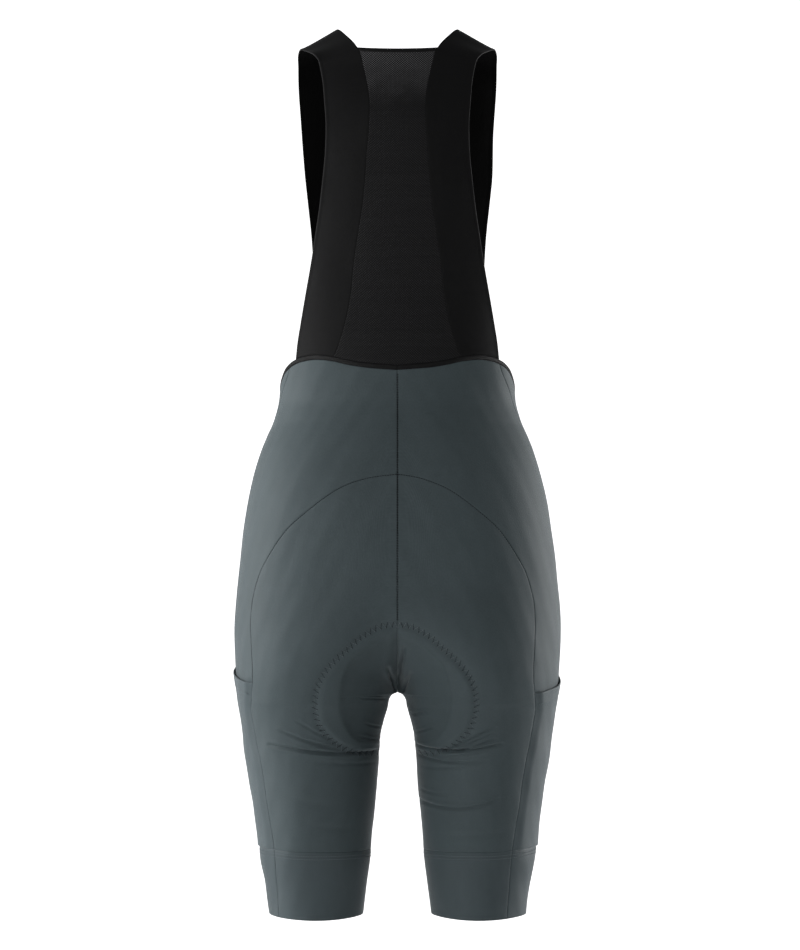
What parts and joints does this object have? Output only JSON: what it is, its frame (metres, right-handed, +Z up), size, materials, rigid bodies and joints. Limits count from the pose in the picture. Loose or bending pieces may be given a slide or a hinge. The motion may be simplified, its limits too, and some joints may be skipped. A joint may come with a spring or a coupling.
{
  "type": "cycling bib shorts",
  "caption": "Cargo cycling bib shorts in worn form, with a mesh back, wide shoulder straps, an arched seat seam, thigh pockets, wide leg grippers and a sewn-in seat pad.",
  "frame": {"origin": "midway between the tops of the two shoulder straps, where the wearer's shoulders carry the garment", "axes": "+Z up, +Y the way the wearer faces, +X towards the wearer's right"},
  "size_m": [0.3361, 0.218, 0.911],
  "materials": {
    "slate_knit": "matt stretch knit",
    "pocket_knit": "matt stretch knit",
    "cuff_knit": "smooth raw-edge gripper knit",
    "black_knit": "matt stretch knit",
    "black_mesh": "fine open mesh",
    "black_elastic": "narrow woven elastic",
    "pad_foam": "foam under brushed knit"
  },
  "bodies": {
    "root": {"back_mesh_panel": "black_mesh", "bib_strap_left": "black_knit", "bib_strap_right": "black_knit", "cuff_main_left": "cuff_knit", "cuff_main_right": "cuff_knit", "cuff_side_left": "cuff_knit", "cuff_side_right": "cuff_knit", "front_panel_left": "slate_knit", "front_panel_right": "slate_knit", "hip_panel_left": "slate_knit", "hip_panel_right": "slate_knit", "neck_binding": "black_elastic", "pocket_left": "pocket_knit", "pocket_right": "pocket_knit", "seat_pad": "pad_foam", "seat_panel_left": "slate_knit", "seat_panel_right": "slate_knit", "waistband": "black_elastic"}
  },
  "joints": []
}
